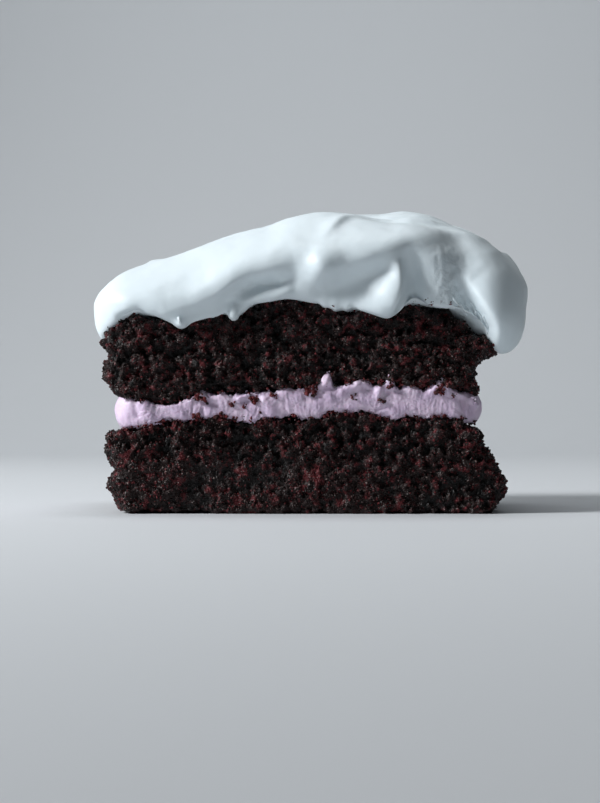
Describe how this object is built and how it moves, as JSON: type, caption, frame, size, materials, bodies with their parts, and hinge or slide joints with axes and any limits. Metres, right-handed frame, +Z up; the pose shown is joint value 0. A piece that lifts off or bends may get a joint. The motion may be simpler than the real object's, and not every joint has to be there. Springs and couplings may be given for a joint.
{
  "type": "slice of chocolate cake",
  "caption": "Rectangular slice of dark chocolate layer cake with a band of lilac cream between its sponge layers and a thick, folded dollop of white frosting hanging over its ends.",
  "frame": {"origin": "middle of the base, on the surface that the slice stands on", "axes": "+X along the cut faces, towards the end with the large overhang of frosting; +Y from the front cut face to the back one; +Z up"},
  "size_m": [0.1136, 0.0678, 0.0786],
  "materials": {
    "sponge": "dark moist chocolate crumb, matt with tiny glints",
    "cream": "pale lilac cream, soft satin",
    "frosting": "cool white whipped frosting, smooth satin"
  },
  "bodies": {
    "root": {"sponge_lower": "sponge", "lilac_cream": "cream", "sponge_upper": "sponge", "frosting": "frosting"}
  },
  "joints": []
}
